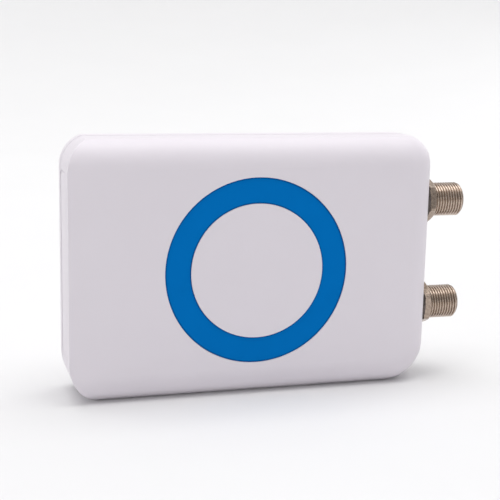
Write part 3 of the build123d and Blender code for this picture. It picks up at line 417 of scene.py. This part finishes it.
def plastic_finishes():
    """Each finish of plastic, rubber or fired powder, with the pieces that have it."""
    white = moulding("white_moulding", colour=(0.79, 0.746, 0.799), patch=(0.777, 0.733, 0.786),
                     roughness=0.42, specular=0.35, patch_mm=16.0, wear=0.12, grain_mm=0.2, grain=0.06)
    black = moulding("black_moulding", colour=(0.018, 0.018, 0.02), patch=(0.03, 0.03, 0.032),
                     roughness=0.45, worn=(0.12, 0.12, 0.12))
    chip = moulding("chip_epoxy", colour=(0.02, 0.02, 0.022), patch=(0.028, 0.027, 0.027),
                    roughness=0.6, patch_mm=1.5)
    ferrite = moulding("fired_ferrite", colour=(0.05, 0.047, 0.045), patch=(0.09, 0.08, 0.075),
                       roughness=0.7, patch_mm=1.2, grain=0.4)
    ceramic = moulding("fired_ceramic", colour=(0.42, 0.29, 0.19), patch=(0.3, 0.2, 0.13),
                       roughness=0.5, patch_mm=1.0)
    rubber = moulding("foot_rubber", colour=(0.028, 0.028, 0.028), patch=(0.045, 0.044, 0.043),
                      roughness=0.85, specular=0.25, patch_mm=2.0, grain_mm=0.25, grain=0.4)
    insulator = moulding("white_insulator", colour=(0.72, 0.70, 0.64), patch=(0.66, 0.63, 0.56),
                         roughness=0.4, patch_mm=1.5)
    return [
        (white, ["front_shell", "rear_shell", "left_end_plate", "right_end_panel"]),
        (ring_material(), ["blue_ring"]),
        (black, ["power_jack_housing", "av_jack_housing", "channel_slider", "switch_base", "regulator",
                 "diodes"]),
        (chip, ["modulator_chip"]),
        (sleeve_material(), ["capacitors"]),
        (board_material(), ["circuit_board"]),
        (ferrite, ["coil_core", "chokes", "splitter_core"]),
        (ceramic, ["chip_components"]),
        (rubber, ["rubber_feet"]),
        (insulator, ["upper_connector_insulator", "lower_connector_insulator"]),
    ]


def metal_finishes():
    """Each finish of metal, with the pieces that have it."""
    tinned = metal("tinned_sheet", colour=(0.62, 0.61, 0.58), tarnish=(0.42, 0.41, 0.39),
                   worn=(0.8, 0.8, 0.78), roughness=0.32, patch_mm=2.5, brushed=(1.0, 1.0, 12.0))
    zinc = metal("zinc_plate", colour=(0.62, 0.62, 0.63), tarnish=(0.45, 0.45, 0.44),
                 worn=(0.85, 0.85, 0.85), roughness=0.25)
    brass = metal("contact_brass", colour=(0.72, 0.55, 0.25), tarnish=(0.5, 0.36, 0.16),
                  worn=(0.9, 0.75, 0.4), roughness=0.3)
    washer = metal("washer_steel", colour=(0.14, 0.12, 0.115), tarnish=(0.07, 0.06, 0.055),
                   worn=(0.45, 0.34, 0.24), roughness=0.42)
    return [
        (tinned, ["power_jack_pin", "power_jack_spring", "av_jack_contacts", "switch_frame", "shield_frame",
                  "shield_lid", "coil_can", "crystal_can"]),
        (zinc, ["case_screws"]),
        (brass, ["upper_connector_contact", "lower_connector_contact"]),
        (washer, ["upper_connector_washer", "lower_connector_washer"]),
    ]


def dress(name, material):
    """Puts a material on every slot of a CAD piece."""
    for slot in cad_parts[name].material_slots:
        slot.link = "OBJECT"
        slot.material = material


def dress_all():
    """Gives every CAD piece that stays the finish of what it is made of."""
    for material, names in plastic_finishes() + metal_finishes():
        for name in names:
            dress(name, material)


def thread_height(x, angle, start):
    """How far up the thread a point is, from root to crest, with a run-out at its start."""
    turn = (x / THREAD_PITCH - angle / (2 * math.pi)) % 1.0
    height = 1.0 - abs(2.0 * turn - 1.0)
    height = clamp((height - THREAD_ROOT) / (1.0 - THREAD_ROOT - THREAD_CREST))
    run_out = clamp((x - start) / (THREAD_PITCH / 2))
    return height * height * (3.0 - 2.0 * height) * run_out


def thread_radius(x, angle, start, end):
    """Radius of the thread at a point, with a chamfer at its tip."""
    radius = BARREL_RADIUS - THREAD_DEPTH * (1.0 - thread_height(x, angle, start))
    return min(radius, BARREL_RADIUS - max(0.0, x - (end - TIP_CHAMFER)))


def hexagon(width):
    """Radii of a hexagon all round, with its corners at whole sixths of a turn."""
    radii = []
    for angle in ROUND_ANGLES:
        within = (angle + SIXTH_TURN / 2) % SIXTH_TURN - SIXTH_TURN / 2
        radii.append(width / 2 / math.cos(abs(within) - SIXTH_TURN / 2))
    return radii


def circle(radius):
    """The same radius all round."""
    return [radius] * ROUND_STEPS


def connector_rings(inner_end, panel_inner, neck_end, tip):
    """The connector's outline from its flange out to the tip and back down the bore."""
    flange = hexagon(FLANGE_WIDTH)
    flange_steps = ((inner_end, FLANGE_CHAMFER), (inner_end + FLANGE_CHAMFER, 0.0),
                    (panel_inner - FLANGE_EDGE, 0.0), (panel_inner, FLANGE_EDGE))
    rings = [(x, [radius - shrink for radius in flange]) for x, shrink in flange_steps]
    rings.append((panel_inner, circle(NECK_RADIUS)))
    rings.append((neck_end, circle(NECK_RADIUS)))
    steps = round((tip - neck_end) / THREAD_PITCH * STEPS_PER_PITCH)
    for i in range(steps + 1):
        x = neck_end + (tip - neck_end) * i / steps
        rings.append((x, [thread_radius(x, a, neck_end, tip) for a in ROUND_ANGLES]))
    rings.append((tip, circle(BORE_RADIUS + MOUTH_CHAMFER)))
    rings.append((tip - MOUTH_CHAMFER, circle(BORE_RADIUS)))
    rings.append((inner_end, circle(BORE_RADIUS)))
    return rings


def nut_rings(inner, outer):
    """A nut's outline: its hexagon, with the outer corners turned off by a cone, and its hole."""
    flats = hexagon(NUT_WIDTH)
    corner = NUT_WIDTH / math.sqrt(3)
    rings = [(inner, flats)]
    for i in range(NUT_CHAMFER_STEPS + 1):
        share = i / NUT_CHAMFER_STEPS
        cone = corner - (corner - NUT_WIDTH / 2) * share
        rings.append((outer - NUT_CHAMFER * (1 - share), [min(radius, cone) for radius in flats]))
    rings.append((outer, circle(NUT_HOLE_RADIUS)))
    rings.append((inner, circle(NUT_HOLE_RADIUS)))
    return rings


def ring_mesh(name, rings, middle, turn=0.0):
    """A closed skin through rings of points round an axis along X, turned about that axis."""
    points = []
    for x, radii in rings:
        for step, radius in zip(ROUND_ANGLES, radii):
            angle = step + turn
            points.append((x * MM, radius * math.cos(angle) * MM, (middle + radius * math.sin(angle)) * MM))
    faces = []
    for i in range(len(rings)):
        below = i * ROUND_STEPS
        above = (i + 1) % len(rings) * ROUND_STEPS
        for j in range(ROUND_STEPS):
            k = (j + 1) % ROUND_STEPS
            faces.append((below + j, below + k, above + k, above + j))
    mesh = bpy.data.meshes.new(name)
    mesh.from_pydata(points, [], faces)
    mesh.shade_smooth()
    mesh.set_sharp_from_angle(angle=math.radians(SHARP_ANGLE))
    return mesh


def stand_in(mesh, node, material):
    """Puts a mesh in place of a CAD piece of the casing."""
    piece = bpy.data.objects.new(mesh.name, mesh)
    piece.data.materials.append(material)
    bpy.context.collection.objects.link(piece)
    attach(piece, "casing")
    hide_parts(node)


def axis_height(side):
    """Height of a connector's axis."""
    low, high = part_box(side + "_connector_body")
    return (low[2] + high[2]) / 2 / MM


def mark_crests(mesh, rings, neck_end):
    """Writes on each point how high up the thread it lies, for the nickel's painted shade and highlights."""
    crest = mesh.attributes.new(CREST, "FLOAT", "POINT")
    root = BARREL_RADIUS - THREAD_DEPTH
    for i, (x, radii) in enumerate(rings):
        for j, radius in enumerate(radii):
            threaded = neck_end <= x and radius > NECK_RADIUS - THREAD_DEPTH
            height = min(1.0, (radius - root) / THREAD_DEPTH)
            crest.data[i * ROUND_STEPS + j].value = height if threaded else PLAIN_CREST


def threaded_body(side, material):
    """Replaces a plain connector barrel with one that carries its thread."""
    node = side + "_connector_body"
    low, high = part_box(node)
    neck_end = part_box(side + "_connector_nut")[1][0] / MM
    panel_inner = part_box("right_end_panel")[0][0] / MM
    rings = connector_rings(low[0] / MM, panel_inner, neck_end, high[0] / MM)
    mesh = ring_mesh(side + "_threaded_body", rings, axis_height(side))
    mark_crests(mesh, rings, neck_end)
    stand_in(mesh, node, material)


def turned_nut(side, material):
    """Replaces a connector's nut with one at its own angle, its outer corners turned off."""
    node = side + "_connector_nut"
    low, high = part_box(node)
    rings = nut_rings(low[0] / MM, high[0] / MM)
    mesh = ring_mesh(side + "_turned_nut", rings, axis_height(side), math.radians(NUT_TURNS[side]))
    stand_in(mesh, node, material)


def replace_connectors():
    """Replaces the bodies and nuts of both connectors."""
    nickel = nickel_material()
    nut = nut_material()
    for side in ("upper", "lower"):
        threaded_body(side, nickel)
        turned_nut(side, nut)


def sweep_outline():
    """Radius and height of the paper, from its middle out to the top of its rim."""
    outline = [(0.0, 0.0), (FLOOR_RADIUS / 2, 0.0), (FLOOR_RADIUS, 0.0)]
    for i in range(1, SWEEP_STEPS + 1):
        angle = math.radians(SWEEP_ANGLE * i / SWEEP_STEPS)
        outline.append((FLOOR_RADIUS + SWEEP_RADIUS * math.sin(angle), SWEEP_RADIUS * (1 - math.cos(angle))))
    return outline


def sweep_mesh(outline):
    """The paper's skin, turned round from its outline."""
    points = [(0.0, 0.0, 0.0)]
    for radius, height in outline[1:]:
        for i in range(SWEEP_SIDES):
            turn = 2 * math.pi * i / SWEEP_SIDES
            points.append((radius * math.cos(turn) * MM, radius * math.sin(turn) * MM, height * MM))
    faces = []
    for i in range(SWEEP_SIDES):
        k = (i + 1) % SWEEP_SIDES
        faces.append((0, 1 + i, 1 + k))
        for row in range(len(outline) - 2):
            inner = 1 + row * SWEEP_SIDES
            outer = inner + SWEEP_SIDES
            faces.append((inner + i, outer + i, outer + k, inner + k))
    mesh = bpy.data.meshes.new("paper_sweep")
    mesh.from_pydata(points, [], faces)
    mesh.shade_smooth()
    return mesh


def add_sweep():
    """Paper that lies flat under the object and curves up all round it."""
    paper = bpy.data.objects.new("paper_sweep", sweep_mesh(sweep_outline()))
    paper.data.materials.append(paper_material())
    bpy.context.collection.objects.link(paper)


def add_light(name, place, size, power, target):
    """A soft box that points at a target."""
    data = bpy.data.lights.new(name, "AREA")
    data.shape = "RECTANGLE"
    data.size, data.size_y = size[0] * MM, size[1] * MM
    data.energy = power
    light = bpy.data.objects.new(name, data)
    light.location = Vector(place) * MM
    aim = Vector(target) * MM - light.location
    light.rotation_euler = aim.to_track_quat("-Z", "Y").to_euler()
    bpy.context.collection.objects.link(light)


def add_world():
    """A room that is dimmer at eye level than overhead, and dimmest on the photographer's side."""
    world = bpy.data.worlds.new("studio")
    bpy.context.scene.world = world
    world.use_nodes = True
    tree = world.node_tree
    direction = tree.nodes.new("ShaderNodeTexCoord").outputs["Generated"]
    parts = tree.nodes.new("ShaderNodeSeparateXYZ")
    tree.links.new(direction, parts.inputs["Vector"])
    rise = map_range(tree, parts.outputs["Z"], ROOM_RISE, (ROOM_LOW, ROOM_HIGH), "SMOOTHSTEP")
    toward = vector_value(tree, "DOT_PRODUCT", direction, DIM_SIDE)
    dim = map_range(tree, toward, DIM_RANGE, (1.0, DIM_SHARE), "SMOOTHSTEP")
    background = tree.nodes["Background"]
    background.inputs["Color"].default_value = (1.0, 1.0, 1.0, 1.0)
    tree.links.new(product(tree, rise, dim), background.inputs["Strength"])


def main():
    add_camera()
    add_sweep()
    add_world()
    for light in LIGHTS:
        add_light(*light)
    bpy.context.scene.view_settings.view_transform = "Standard"
    dress_all()
    replace_connectors()


main()
